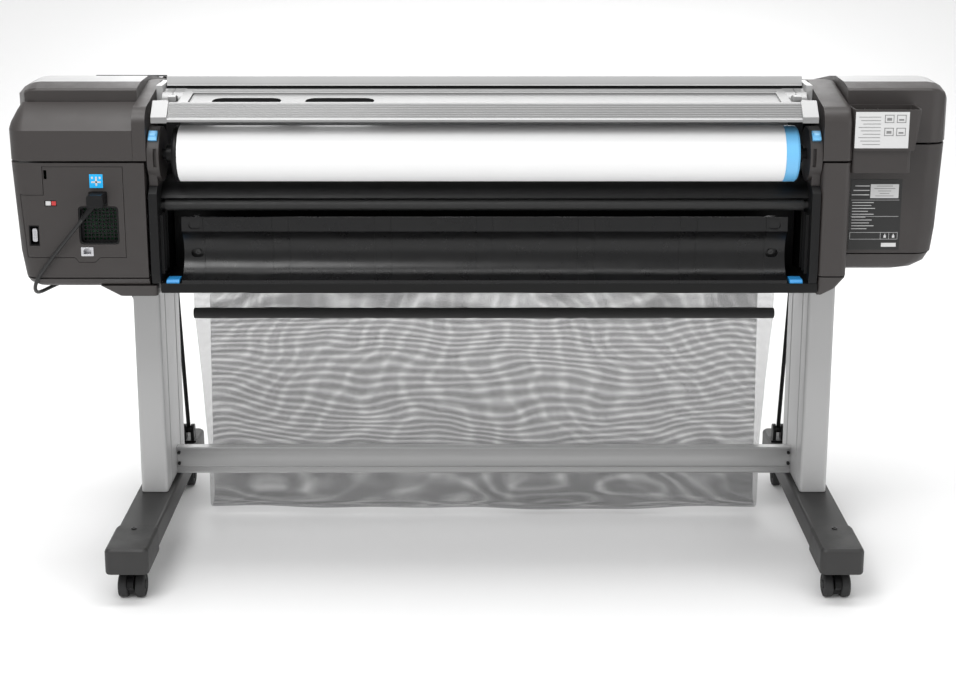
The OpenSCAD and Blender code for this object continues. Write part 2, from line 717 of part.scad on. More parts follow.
// Drop-down door in front of the ink cartridges.
module ink_door() {
    color([0.31, 0.29, 0.28]) bay() mirror([1, 0, 0]) difference() {
        union() {
            box([door_x[0], front_y, door_z[0]], [door_x[1], front_y + 4, door_z[1]]);
            rod_x(3, door_x[0], door_x[1], front_y - 2, door_z[0] - 0.5);
            box([door_x[0] + 55, front_y - 4, door_z[1] - 8], [door_x[1] - 55, front_y + 1, door_z[1] - 4]);
        }
        rod_x(1.56, door_x[0] - 5, door_x[1] + 5, front_y - 2, door_z[0] - 0.5);
    }
}

module ink_cartridges() {
    for (i = [0:5]) color([0.2 + 0.1 * i, 0.2, 0.3]) bay()
        mirror([1, 0, 0]) box([660 + i * 24, front_y + 14, 742], [680 + i * 24, -180, 852]);
    color([0.2, 0.2, 0.2]) bay() mirror([1, 0, 0]) box([629, front_y + 12, 736], [804, -170, 741.5]);
}

module left_block(i) {
    x_in = inner_x + i;
    hull() {
        slab(plan(x_in, 866 - i, left_x - i, shell_y - i, front_y + i, 40 - i), 880 - i, 881 - i);
        slab(plan(x_in, 858 - i, left_x - 8 - i, shell_y - i, front_y + i, 40 - i), 720, 721);
        slab(plan(x_in, 852 - i, left_x - 14 - i, shell_y - 1 - i, front_y + 1 + i, 38 - i),
             673 + i, 674 + i);
    }
}

module left_covers() {
    color([0.31, 0.29, 0.28]) bay() mirror([1, 0, 0]) {
        difference() {
            left_shell(0);
            left_shell(wall);
        }
        // column behind the shell, in three pieces parted by grooves
        difference() {
            hull() {
                along_x(arch(0), 620.4, 662);
                along_x(arch(1.5), 668, 669);
                along_x(arch(6), 672, 673);
            }
            along_x(arch_hollow(), 624.4, 664);
        }
        difference() {
            slab(rounded_box(620.4, 236, 673, rear_y, 11), 644, joint_z - 4);
            slab(rounded_box(624.4, 240, 669, rear_y - 4, 7), 643, joint_z - 3);
        }
        hull() {
            slab(rounded_box(622.4, 210, 672, rear_y - 1, 10), 640.5, 641.5);
            slab(rounded_box(622.4, 210, 655, rear_y - 8, 8), 618, 619);
            slab(rounded_box(622.4, 212, 632, rear_y - 14, 4), 605, 606);
        }
        // bottom cover
        difference() {
            hull() {
                slab(plan(inner_x, 849, left_x - 17, shell_y - 2, front_y + 3, 38), 669.5, 670.5);
                slab(plan(inner_x, 841, left_x - 28, shell_y - 7, front_y + 9, 34), 655, 656);
                slab(plan(inner_x, 821, left_x - 50, shell_y - 16, front_y + 20, 28), 643, 644);
                slab(plan(inner_x, 793, left_x - 80, shell_y - 28, front_y + 34, 22), 637, 638);
            }
            hull() {
                slab(plan(inner_x + 4, 843, left_x - 24, shell_y - 8, front_y + 9, 34), 669, 672);
                slab(plan(inner_x + 4, 811, left_x - 64, shell_y - 26, front_y + 30, 22), 642.5, 643.5);
            }
        }
    }
}

module left_shell(i) {
    x_in = 674 + i;
    hull() {
        along_x(left_rib(shell_y, 0, i), x_in, x_in + 1);
        along_x(left_rib(shell_y, 0, i), 829 - i, 830 - i);
        along_x(left_rib(shell_y - 4, 3, i), 845 - i, 846 - i);
        along_x(left_rib(shell_y - 13, 9, i), 857 - i, 858 - i);
        along_x(left_rib(shell_y - 38, 20, i), 867 - i, 868 - i);
        along_x(left_rib(60, 34, i), left_x - 5 - i, left_x - 4 - i);
    }
}

function left_rib(y_rear, drop, i) = [for (p = rib(y_rear, drop, i)) [p[0], max(p[1], 885 - i)]];

// ------------------------------------------- rear fittings of the housings

module io_panel() {
    color([0.30, 0.28, 0.27]) bay() difference() {
        intersection() {
            right_block(0.2);
            along_y(io_outline(-0.2), 180, 310);
        }
        right_block(3.4);
        along_y(rounded_box(695, 778, 729, 805, 2, 3), 260, 310);
        along_y(rounded_box(676, 705, 750, 777, 7, 5), 260, 310);
        along_y(rounded_box(725, 682, 749, 700, 1, 2), 260, 310);
        along_y(rounded_box(824, 702, 843, 741, 1, 2), 200, 310);
        along_y(rounded_box(789, 777, 811, 788, 1, 2), 260, 310);
        along_y(rounded_box(804.5, 828, 810, 845, 1, 2), 260, 310);
    }
}

// Inlet, recessed fan grille, network jack, side connector and switch block.
module io_ports() {
    color([0.1, 0.1, 0.11]) bay() {
        difference() {
            along_y(rounded_box(695.4, 778.4, 728.6, 804.6, 2, 3), 276, 299.2);
            along_y(rounded_box(699.6, 782.4, 724.4, 800.6, 2, 3), 282, 300);
        }
        difference() {
            along_y(rounded_box(676.4, 705.4, 749.6, 776.6, 7, 5), 282, 299);
            along_y(rounded_box(679, 708, 747, 774, 6, 5), 286, 300);
            for (i = [-4:4], j = [-4:4])
                translate([713 + i * 7, 292, 741 + j * 7]) rotate([90, 0, 0])
                    cylinder(r = 2.9, h = 12, $fn = 6);
        }
        difference() {
            along_y(rounded_box(725.4, 682.4, 748.6, 699.6, 1, 2), 280, 299.2);
            along_y([[730, 686], [744, 686], [744, 694], [740, 697], [734, 697], [730, 694]], 284, 300);
        }
        difference() {
            along_y(rounded_box(824.4, 702.4, 842.6, 740.6, 1, 2), 270, 298);
            along_y(rounded_box(826, 704, 841, 739, 1, 2), 282, 299);
        }
        along_y(rounded_box(829, 709, 838, 734, 3, 3), 281, 294);
        along_y(rounded_box(789.4, 777.4, 810.6, 787.6, 1, 2), 286, 297);
    }
}

// Controller board on its posts and the power supply behind the grille.
module electronics() {
    color([0.1, 0.35, 0.2]) bay() {
        box([650, 160, 662], [852, 162, 845]);
        for (x = [660, 842], z = [670, 836]) translate([x, 160, z]) rotate([90, 0, 0])
            cylinder(r = 3, h = 8, $fn = 24);
        for (i = [0:3]) box([670 + i * 44, 162, 812 - i * 6], [698 + i * 44, 168, 836 - i * 6]);
    }
    color([0.7, 0.7, 0.72]) bay() {
        box([668, 180, 652], [762, 274, 806]);
        box([650, 149, 652], [852, 152, 845]);
        box([640, 149, 649.5], [790, 278, 652]);
    }
}

module guide_pocket() {
    color([0.28, 0.26, 0.25]) bay() mirror([1, 0, 0]) {
        difference() {
            pocket_shape(0, 881, 957);
            pocket_shape(3, 886, 960);
        }
        for (x = [704, 728]) box([x, shell_y + 3, 886], [x + 2, shell_y + 12, 950]);
        slab(rounded_box(673.6, shell_y + 0.4, 783, rear_y - 8, 8), 838, 882);
    }
}

// Outline of the pocket with its outer side leaning out towards the top.
module pocket_shape(i, z0, z1) {
    intersection() {
        slab(rounded_box(673.6 + i, shell_y + 0.4 + i, 798 - i, rear_y - i, 10 - i), z0, z1);
        along_y([[660, z0], [786 - i, z0], [798 - i, z1], [660, z1]], shell_y - 1, rear_y + 1);
    }
}

// Blank graphic labels, each a thin plate on the face it belongs to.
module labels() {
    color([0.0, 0.68, 0.94]) bay() along_y(rounded_box(701.5, 812, 726, 837.5, 0.5, 1), 299.8, 300.4);
    color([0.9, 0.9, 0.9]) bay() along_y(rounded_box(-774, 886, -676, 953, 3, 3), rear_y, rear_y + 0.5);
    color([0.1, 0.1, 0.1]) bay() along_y(rounded_box(-784, 680, -688, 815, 2, 3), shell_y, shell_y + 0.5);
}

// Tilting touch display on the front of the right housing.
module control_panel() {
    color([0.08, 0.08, 0.09]) bay() difference() {
        union() {
            rod_x(8, 698, 801, control_pin[0], control_pin[1]);
            along_x([[-275, 939], [-280, 943], [-323, 933], [-329, 920], [-321, 914], [-279, 923]],
                    665, 835);
            box([698, -280, 926], [801, -262, 938]);
        }
        rod_x(4.06, 690, 810, control_pin[0], control_pin[1]);
    }
}

button_at = [822, 876];

module power_button() {
    color([0.75, 0.75, 0.77]) bay() translate([button_at[0], front_y + 6, button_at[1]])
        rotate([90, 0, 0]) cylinder(r = 7, h = 9, $fn = round_n);
}

// ----------------------------------------------------------------- cord

// Route of the cord's middle line from the coupler to the coil.
cord_route = [
    [739, 316, 756], [759.5, 313, 731], [781, 310.5, 705], [802, 308, 680], [820, 305.5, 656],
    [834, 303, 636], [841, 292, 617], [842, 270, 604], [838, 235, 600], [828, 180, 598],
    [811, 120, 594], [790, 60, 586], [766, 0, 570], [748, -50, 545], [736, -92, 505], [731, -120, 450],
    [731, -136, 380], [731, -144, 300], [731, -148, 200], [731.5, -152, 110], [733, -158, 50],
    [736, -174, 18], [741, -202, 5], [747, -240, 4], [757, -285, 4], [766, -330, 4],
    [770.5, -365, 4], [770.5, -398, 4]];

function unit(v) = v / norm(v);

function ring_at(i, r, n) = let (
    last = len(cord_route) - 1,
    d = unit(cord_route[min(i + 1, last)] - cord_route[max(i - 1, 0)]),
    u = unit(cross(d, abs(d[2]) > 0.9 ? [0, 1, 0] : [0, 0, 1])),
    v = cross(d, u))
    [for (k = [0:n - 1]) cord_route[i] + r * (u * cos(360 * k / n) + v * sin(360 * k / n))];

module cord_tube() {
    n = 8;
    rings = len(cord_route);
    points = [for (i = [0:rings - 1]) each ring_at(i, cord_d / 2, n)];
    sides = [for (i = [0:rings - 2], k = [0:n - 1]) let (a = i * n, b = a + n, m = (k + 1) % n)
        [a + k, a + m, b + m, b + k]];
    color([0.12, 0.12, 0.12]) bay() polyhedron(points, concat(
        [[for (k = [n - 1:-1:0]) k]], sides, [[for (k = [0:n - 1]) (rings - 1) * n + k]]), 10);
}

coil_at = [722, -398];
coil_top = 21.5;

module cord_coil() {
    color([0.12, 0.12, 0.12]) bay() translate([coil_at[0], coil_at[1], 0])
        rotate_extrude($fn = 64) polygon(rounded_box(29, 0.5, 45, coil_top, 4, 3));
}

relief_from = [712, 320, 788];

// Coupler in the inlet with its strain relief, and the mains plug lying on the coil.
module cord_ends() {
    way = cord_route[0] - relief_from;
    color([0.07, 0.07, 0.07]) bay() {
        along_y(rounded_box(700, 782.8, 724, 800.2, 2, 3), 283, 299.5);
        along_y(rounded_box(697, 779.8, 727, 803.2, 4, 3), 299.5, 330);
        translate(relief_from) rotate([0, acos(way[2] / norm(way)), atan2(way[1], way[0])])
            cylinder(r1 = 6.5, r2 = 4.2, h = norm(way), $fn = round_n);
        translate([coil_at[0] - 37.5, coil_at[1], coil_top]) {
            slab(rounded_box(-11, 0, 11, 42, 6, 4), 0, 23);
            translate([0, -12, 11.5]) rotate([-90, 0, 0]) cylinder(r1 = 4.2, r2 = 7, h = 12.5, $fn = round_n);
            for (x = [-6, 6]) translate([x, 42, 11.5]) rotate([-90, 0, 0])
                cylinder(r = 2.2, h = 19, $fn = 24);
        }
    }
}

foot_beams();
foot_end_caps();
fasteners();
caster_fork(1, 1);  // caster_fork_rear_right
caster_fork(-1, 1);  // caster_fork_rear_left
caster_fork(1, -1);  // caster_fork_front_right
caster_fork(-1, -1);  // caster_fork_front_left
twin_wheels(1, 1);  // caster_wheels_rear_right
twin_wheels(-1, 1);  // caster_wheels_rear_left
twin_wheels(1, -1);  // caster_wheels_front_right
twin_wheels(-1, -1);  // caster_wheels_front_left
posts();
cross_brace();
basket_fabric();
basket_rear_rod();
basket_holders();
basket_front_frame();
base_tray();
chassis_beam();
rear_panel();
release_tabs();
side_walls();
loading_guide();
entry_roller();
spindle();
roll_core();
paper_roll();
blue_stop();
black_stop();
spindle_cradles();
latch_lever(1);  // latch_lever_right
latch_lever(-1);  // latch_lever_left
roll_cover();
roll_cover_rail();
top_bridge();
front_window();
front_fascia();
output_apron();
platen();
feed_roller();
pinch_rollers();
carriage();
carriage_rail();
carriage_drive();
right_body();
right_covers();
io_panel();
io_ports();
electronics();
left_body();
left_covers();
guide_pocket();
labels();
ink_door();
ink_cartridges();
control_panel();
power_button();
cord_tube();
cord_coil();
cord_ends();
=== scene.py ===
"""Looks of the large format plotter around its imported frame."""
import math

import bmesh
import bpy
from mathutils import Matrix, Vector


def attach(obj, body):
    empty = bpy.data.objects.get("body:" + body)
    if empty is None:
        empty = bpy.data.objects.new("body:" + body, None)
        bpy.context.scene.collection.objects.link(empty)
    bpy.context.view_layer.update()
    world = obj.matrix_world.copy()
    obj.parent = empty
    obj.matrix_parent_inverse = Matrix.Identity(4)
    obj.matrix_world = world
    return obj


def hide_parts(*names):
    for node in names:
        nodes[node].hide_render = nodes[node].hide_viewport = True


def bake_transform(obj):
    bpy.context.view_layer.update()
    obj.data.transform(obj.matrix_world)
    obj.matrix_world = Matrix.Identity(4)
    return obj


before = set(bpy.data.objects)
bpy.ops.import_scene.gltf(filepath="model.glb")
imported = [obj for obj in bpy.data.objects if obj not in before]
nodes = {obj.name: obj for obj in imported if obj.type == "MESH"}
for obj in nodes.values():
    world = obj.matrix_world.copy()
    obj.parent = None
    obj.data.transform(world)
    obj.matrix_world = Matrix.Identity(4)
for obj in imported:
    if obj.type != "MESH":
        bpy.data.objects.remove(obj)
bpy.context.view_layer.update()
BX = -0.0135  # the roll bay's middle, along the frame's x

# ------------------------------------------------------------------ camera
FOCAL_PX, PICTURE_PX = 1693.0, 956.0
SENSOR_MM = 36.0
TILT_DEG = 13.05

cam_data = bpy.data.cameras.new("camera")
cam = bpy.data.objects.new("camera", cam_data)
bpy.context.scene.collection.objects.link(cam)
bpy.context.scene.camera = cam
cam_data.sensor_width = SENSOR_MM
cam_data.lens = FOCAL_PX / PICTURE_PX * SENSOR_MM
cam_data.shift_y = -0.12
cam_data.clip_start, cam_data.clip_end = 0.05, 60.0
cam.location = (-0.0013, 3.352, 1.430)
cam.rotation_euler = (math.radians(90.0 - TILT_DEG), 0.0, math.radians(180.0))


# --------------------------------------------------------------- materials
def tree_of(name):
    mat = bpy.data.materials.new(name)
    mat.use_nodes = True
    tree = mat.node_tree
    bsdf = tree.nodes["Principled BSDF"]
    return mat, tree, bsdf


def add(tree, kind, **props):
    node = tree.nodes.new(kind)
    for key, value in props.items():
        if key in node.inputs:
            node.inputs[key].default_value = value
        else:
            setattr(node, key, value)
    return node


def coords(tree, scale=(1, 1, 1)):
    tc = add(tree, "ShaderNodeTexCoord")
    mp = add(tree, "ShaderNodeMapping")
    mp.inputs["Scale"].default_value = scale
    tree.links.new(tc.outputs["Object"], mp.inputs["Vector"])
    return mp.outputs["Vector"]


def noise(tree, vector, scale, detail=3.0, rough=0.5):
    n = add(tree, "ShaderNodeTexNoise", Scale=scale, Detail=detail, Roughness=rough)
    tree.links.new(vector, n.inputs["Vector"])
    return n.outputs["Fac"]


def ramp(tree, value, stops):
    r = add(tree, "ShaderNodeValToRGB")
    while len(r.color_ramp.elements) < len(stops):
        r.color_ramp.elements.new(0.5)
    for el, (pos, col) in zip(r.color_ramp.elements, stops):
        el.position = pos
        el.color = (*col, 1.0) if len(col) == 3 else col
    tree.links.new(value, r.inputs["Fac"])
    return r.outputs["Color"]


def span(tree, value, lo, hi, a=0.0, b=1.0):
    m = add(tree, "ShaderNodeMapRange")
    for key, v in (("From Min", lo), ("From Max", hi), ("To Min", a), ("To Max", b)):
        m.inputs[key].default_value = v
    tree.links.new(value, m.inputs["Value"])
    return m.outputs["Result"]


def bump(tree, bsdf, height, strength, distance):
    b = add(tree, "ShaderNodeBump", Strength=strength, Distance=distance)
    tree.links.new(height, b.inputs["Height"])
    last = bsdf.inputs["Normal"].links
    if last:
        tree.links.new(last[0].from_socket, b.inputs["Normal"])
    tree.links.new(b.outputs["Normal"], bsdf.inputs["Normal"])


def shade(col, k):
    return tuple(min(1.0, c * k) for c in col)


def plastic(
    name, col, rough=0.55, grain=2600.0, depth=0.00012, vary=0.05, gloss=None, shine=0.5
):
    """Moulded plastic: slow colour drift, fine spark-eroded grain, handled sheen."""
    mat, tree, bsdf = tree_of(name)
    v = coords(tree)
    slow = noise(tree, v, 7.0, 4.0)
    tree.links.new(
        ramp(tree, slow, [(0.25, shade(col, 1 - vary)), (0.75, shade(col, 1 + vary))]),
        bsdf.inputs["Base Color"],
    )
    fine = noise(tree, v, grain, 2.0, 0.6)
    smudge = noise(tree, v, 23.0, 5.0, 0.6)
    tree.links.new(
        span(tree, smudge, 0.3, 0.7, rough - 0.06, rough + 0.06), bsdf.inputs["Roughness"]
    )
    bump(tree, bsdf, fine, 0.35, depth)
    bsdf.inputs["Specular IOR Level"].default_value = shine
    if gloss:
        bsdf.inputs["Coat Weight"].default_value = gloss
        bsdf.inputs["Coat Roughness"].default_value = 0.12
    return mat


def coated(name, col, rough=0.42, metal=0.0, shine=0.5):
    """Powder-coated metal with a faint orange peel and dust on it."""
    mat, tree, bsdf = tree_of(name)
    v = coords(tree)
    slow = noise(tree, v, 3.0, 5.0)
    tree.links.new(
        ramp(tree, slow, [(0.3, shade(col, 0.96)), (0.7, shade(col, 1.03))]),
        bsdf.inputs["Base Color"],
    )
    peel = noise(tree, v, 520.0, 3.0, 0.55)
    tree.links.new(span(tree, slow, 0.3, 0.7, rough - 0.04, rough + 0.06), bsdf.inputs["Roughness"])
    bump(tree, bsdf, peel, 0.25, 0.0002)
    bsdf.inputs["Metallic"].default_value = metal
    bsdf.inputs["Specular IOR Level"].default_value = shine
    return mat


def brushed(name, col):
    """Metal with fine lines along x."""
    mat, tree, bsdf = tree_of(name)
    v = coords(tree, (6, 900, 900))
    lines = noise(tree, v, 1.0, 4.0, 0.6)
    tree.links.new(
        ramp(tree, lines, [(0.3, shade(col, 0.86)), (0.7, shade(col, 1.1))]),
        bsdf.inputs["Base Color"],
    )
    tree.links.new(span(tree, lines, 0.2, 0.8, 0.22, 0.42), bsdf.inputs["Roughness"])
    bump(tree, bsdf, lines, 0.2, 0.0001)
    bsdf.inputs["Metallic"].default_value = 1.0
    return mat


def rubber(name, col, rough=0.72):
    mat, tree, bsdf = tree_of(name)
    v = coords(tree)
    slow = noise(tree, v, 60.0, 5.0, 0.65)
    tree.links.new(
        ramp(tree, slow, [(0.3, shade(col, 0.8)), (0.72, shade(col, 1.25))]),
        bsdf.inputs["Base Color"],
    )
    tree.links.new(span(tree, slow, 0.3, 0.7, rough - 0.08, rough + 0.1), bsdf.inputs["Roughness"])
    bump(tree, bsdf, noise(tree, v, 900.0, 2.0), 0.3, 0.0002)
    return mat


def paper(name, col):
    mat, tree, bsdf = tree_of(name)
    v = coords(tree)
    fibre = noise(tree, v, 1400.0, 4.0, 0.7)
    tree.links.new(
        ramp(tree, fibre, [(0.2, shade(col, 0.97)), (0.8, shade(col, 1.02))]),
        bsdf.inputs["Base Color"],
    )
    bsdf.inputs["Roughness"].default_value = 0.62
    bump(tree, bsdf, fibre, 0.15, 0.00008)
    slow = noise(tree, coords(tree, (1.0, 9.0, 9.0)), 4.0, 2.0)
    bump(tree, bsdf, slow, 0.12, 0.002)
    return mat


def smoky(name):
    mat, tree, bsdf = tree_of(name)
    v = coords(tree)
    haze = noise(tree, v, 30.0, 4.0)
    tree.links.new(
        ramp(tree, haze, [(0.3, (0.10, 0.10, 0.11)), (0.7, (0.13, 0.13, 0.14))]),
        bsdf.inputs["Base Color"],
    )
    tree.links.new(span(tree, haze, 0.3, 0.7, 0.05, 0.10), bsdf.inputs["Roughness"])
    bsdf.inputs["Alpha"].default_value = 0.55
    bsdf.inputs["IOR"].default_value = 1.49
    return mat


def mesh_cloth(name):
    """Open warp-knit mesh: threads about 2.4 mm apart both ways, seen through."""
    mat, tree, bsdf = tree_of(name)
    uv = add(tree, "ShaderNodeUVMap")
    uv.uv_map = "cloth"
    sep = add(tree, "ShaderNodeSeparateXYZ")
    tree.links.new(uv.outputs["UV"], sep.inputs["Vector"])
    v = coords(tree)
    threads = []
    for axis, pitch, lo, hi, stretch in (
        ("X", 0.0023, 0.60, 0.84, 1.7), ("Y", 0.0024, 0.30, 0.60, 1.7 + 7.3 * 0.01)
    ):
        shift = noise(tree, coords(tree, (1.0, 1.7, stretch)), 3.4, 2.0, 0.45)
        bend = add(tree, "ShaderNodeMath", operation="MULTIPLY_ADD")
        tree.links.new(shift, bend.inputs[0])
        bend.inputs[1].default_value = 0.010
        tree.links.new(sep.outputs[axis], bend.inputs[2])
        k = add(tree, "ShaderNodeMath", operation="MULTIPLY")
        tree.links.new(bend.outputs[0], k.inputs[0])
        k.inputs[1].default_value = 2 * math.pi / pitch
        s = add(tree, "ShaderNodeMath", operation="SINE")
        tree.links.new(k.outputs[0], s.inputs[0])
        threads.append(span(tree, s.outputs[0], lo, hi))
    top = add(tree, "ShaderNodeMath", operation="MAXIMUM")
    tree.links.new(threads[0], top.inputs[0])
    tree.links.new(threads[1], top.inputs[1])
    tree.links.new(top.outputs[0], bsdf.inputs["Alpha"])
    slow = noise(tree, v, 5.0, 4.0)
    tree.links.new(
        ramp(tree, slow, [(0.3, (0.12, 0.12, 0.123)), (0.7, (0.17, 0.17, 0.173))]),
        bsdf.inputs["Base Color"],
    )
    bsdf.inputs["Roughness"].default_value = 0.78
    bsdf.inputs["Sheen Weight"].default_value = 0.25
    bsdf.inputs["Sheen Roughness"].default_value = 0.5
    bump(tree, bsdf, top.outputs[0], 0.5, 0.0006)
    return mat


def webbing(name, col):
    mat, tree, bsdf = tree_of(name)
    v = coords(tree)
    w = add(tree, "ShaderNodeTexWave", Scale=160.0, Distortion=0.6)
    w.bands_direction = "X"
    tree.links.new(v, w.inputs["Vector"])
    tree.links.new(
        ramp(tree, w.outputs["Fac"], [(0.2, shade(col, 0.7)), (0.8, shade(col, 1.35))]),
        bsdf.inputs["Base Color"],
    )
    bsdf.inputs["Roughness"].default_value = 0.85
    bsdf.inputs["Sheen Weight"].default_value = 0.3
    bump(tree, bsdf, w.outputs["Fac"], 0.4, 0.0006)
    return mat


HOUSING = (0.030, 0.0258, 0.0245)
MAT = {
    "housing": plastic("housing_plastic", HOUSING, 0.50, 2200.0, 0.00025, 0.05),
    # The covers take the housing colour 10 % lighter: painted light for their upward slopes, which
    # catch more light than the housing's upright faces.
    "cover": plastic("cover_plastic", shade(HOUSING, 1.1), 0.42, 2200.0, 0.00025, 0.05),
    "inlay": plastic("inlay_plastic", (0.42, 0.42, 0.42), 0.40, 2000.0, 0.0002, 0.03),
    "stand": coated("stand_coat", (0.43, 0.43, 0.43), 0.40, 0.15),
    "brace": coated("brace_coat", (0.38, 0.38, 0.38), 0.32, 0.35),
    "foot": coated("foot_coat", (0.020, 0.0197, 0.0193), 0.48),
    "cap": plastic("cap_plastic", (0.022, 0.0216, 0.0212), 0.52),
    "steel": brushed("steel_brushed", (0.52, 0.52, 0.53)),
    "black": plastic(
        "black_plastic", (0.0060, 0.0060, 0.0063), 0.45, 2400.0, 0.0001, 0.08, shine=0.22
    ),
    "gloss_black": plastic(
        "gloss_black", (0.0042, 0.0042, 0.0045), 0.30, 1500.0, 0.000008, 0.02, shine=0.36
    ),
    "black_metal": coated("black_coat", (0.0060, 0.0060, 0.0060), 0.42, shine=0.2),
    "screw": coated("screw_black", (0.05, 0.05, 0.05), 0.34, 0.9),
    "wheel": rubber("wheel_rubber", (0.020, 0.020, 0.0205)),
    "roller": rubber("roller_rubber", (0.05, 0.05, 0.052), 0.6),
    "belt": rubber("belt_rubber", (0.0075, 0.0075, 0.0075), 0.6),
    "cloth": mesh_cloth("basket_mesh"),
    "sleeve": webbing("sleeve_webbing", (0.012, 0.012, 0.012)),
    "blue": plastic("blue_plastic", (0.155, 0.48, 0.80), 0.34, 1800.0, 0.00006, 0.04, 0.25),
    "blue_deep": plastic("blue_deep_plastic", (0.03, 0.27, 0.62), 0.38, 1800.0, 0.00006),
    "card": paper("card", (0.42, 0.30, 0.18)),
    "paper": paper("paper", (0.84, 0.84, 0.84)),
    "top": coated("top_satin", (0.29, 0.29, 0.29), 0.34, 0.55),
    "bridge": coated("bridge_satin", (0.50, 0.50, 0.50), 0.38, 0.2),
    "smoky": smoky("smoky_lid"),
    "board": plastic("board_lacquer", (0.02, 0.13, 0.05), 0.35, 900.0, 0.0002, 0.2),
    "button": plastic("button_plastic", (0.5, 0.5, 0.52), 0.3, 1500.0, 0.00005, 0.03, 0.4),
    "cord": rubber("cord_rubber", (0.010, 0.010, 0.010), 0.42),
    "white": plastic("label_white", (0.60, 0.60, 0.60), 0.45, 1200.0, 0.00003, 0.02),
    "cyan": plastic("label_cyan", (0.0, 0.42, 0.86), 0.45, 1200.0, 0.00003, 0.03),
    "mark": plastic("label_mark", (0.010, 0.010, 0.010), 0.4, 1200.0, 0.00003, 0.03),
    "grey_ink": plastic("label_grey", (0.20, 0.20, 0.20), 0.5, 1200.0, 0.00003, 0.03),
    "red": plastic("label_red", (0.55, 0.04, 0.04), 0.45, 1200.0, 0.00003, 0.03),
    "contact": brushed("contact_metal", (0.62, 0.62, 0.64)),
}
USE = {
    "housing": "right_body left_body io_panel guide_pocket spindle_cradles",
    "cover": "right_covers left_covers ink_door front_fascia",
    "stand": "posts",
    "brace": "cross_brace",
    "foot": "foot_beams",
    "cap": "foot_end_caps",
    "steel": "carriage_rail feed_roller",
    "screw": "fasteners",
    "black": "caster_fork_rear_right caster_fork_rear_left caster_fork_front_right "
    "caster_fork_front_left basket_holders side_walls loading_guide spindle black_stop "
    "output_apron platen carriage io_ports cord_ends ink_cartridges",
    "gloss_black": "rear_panel control_panel",
    "black_metal": "basket_rear_rod basket_front_frame base_tray chassis_beam",
    "wheel": "caster_wheels_rear_right caster_wheels_rear_left caster_wheels_front_right "
    "caster_wheels_front_left",
    "roller": "pinch_rollers",
    "belt": "carriage_drive entry_roller",
    "cloth": "basket_fabric",
    "blue": "blue_stop latch_lever_right latch_lever_left",
    "blue_deep": "release_tabs",
    "card": "roll_core",
    "paper": "paper_roll",
    "white": "labels",
    "top": "roll_cover roll_cover_rail",
    "bridge": "top_bridge",
    "smoky": "front_window",
    "board": "electronics",
    "button": "power_button",
    "cord": "cord_tube cord_coil",
}
for key, names in USE.items():
    for name in names.split():
        obj = nodes[name]
        obj.data.materials.clear()
        obj.data.materials.append(MAT[key])
        obj.data.shade_smooth()
        obj.data.set_sharp_from_angle(angle=math.radians(32.0))



def paint(name, key, test):
    """Gives the CAD faces that test(centre, normal) picks another material."""
    mesh = nodes[name].data
    mesh.materials.append(MAT[key])
    last = len(mesh.materials) - 1
    for poly in mesh.polygons:
        if test(poly.center, poly.normal):
            poly.material_index = last


# Picks the upright walls of the roll cover's slots; they get black plastic, which is painted shade
# in the slots.
def in_slots(c, n):
    return abs(n.z) < 0.5 and 0.208 < c.y < 0.255 and c.x > 0.15 and 0.94 < c.z < 0.969


def lan_port(c, n):
    return 0.725 < c.x - BX < 0.749 and 0.682 < c.z < 0.700 and c.y > 0.284


def side_port(c, n):
    return 0.8285 < c.x - BX < 0.8385 and 0.708 < c.z < 0.735 and c.y > 0.283


def on_housing_top(c, n):
    return n.z > 0.9 and c.z > 0.925 and c.y < 0.194


paint("roll_cover", "black", in_slots)
# The bridge's rear face below z 0.9795 gets black plastic: partly the black of that line, partly
# painted shade standing in for a shaded groove under its top edge.
paint("top_bridge", "black", lambda c, n: n.y > 0.9 and c.z < 0.9795 and abs(c.x - BX) < 0.607)
paint("right_covers", "inlay", lambda c, n: on_housing_top(c, n) and c.x > 0.628)
paint("left_covers", "inlay", lambda c, n: on_housing_top(c, n) and c.x < -0.69)
paint("io_ports", "contact", lan_port)
paint("io_ports", "contact", side_port)

SOFT_EDGES = {
    0.0020: "posts cross_brace foot_beams",
    0.0014: "right_covers left_covers right_body left_body base_tray foot_end_caps",
    0.0009: "roll_cover roll_cover_rail top_bridge rear_panel guide_pocket release_tabs io_panel "
    "spindle_cradles latch_lever_right latch_lever_left control_panel front_fascia ink_door "
    "output_apron",
    0.0006: "cord_ends io_ports side_walls basket_holders carriage",
}


def soften(obj, width):
    """Joins the CAD faces' shared corners, rounds the sharp edges and evens the shading."""
    split = obj.data.attributes.get("custom_normal")
    if split:
        obj.data.attributes.remove(split)
    weld = obj.modifiers.new("weld", "WELD")
    weld.merge_threshold = 0.00002
    mod = obj.modifiers.new("edges", "BEVEL")
    mod.width = width
    mod.segments = 2
    mod.limit_method = "ANGLE"
    mod.angle_limit = math.radians(34.0)
    mod.use_clamp_overlap = True
    normals = obj.modifiers.new("normals", "WEIGHTED_NORMAL")
    normals.keep_sharp = True
    normals.weight = 50


# -------------------------------------------------------------- piece tools
def piece(name, verts, faces, mat, body="frame", smooth=True, sharp=32.0):
    mesh = bpy.data.meshes.new(name)
    mesh.from_pydata([tuple(v) for v in verts], [], faces)
    mesh.update()
    bm = bmesh.new()
    bm.from_mesh(mesh)
    bmesh.ops.recalc_face_normals(bm, faces=bm.faces)
    bm.to_mesh(mesh)
    bm.free()
    obj = bpy.data.objects.new(name, mesh)
    bpy.context.scene.collection.objects.link(obj)
    mesh.materials.append(MAT[mat])
    if smooth:
        mesh.shade_smooth()
        mesh.set_sharp_from_angle(angle=math.radians(sharp))
    if body:
        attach(obj, body)
    return obj


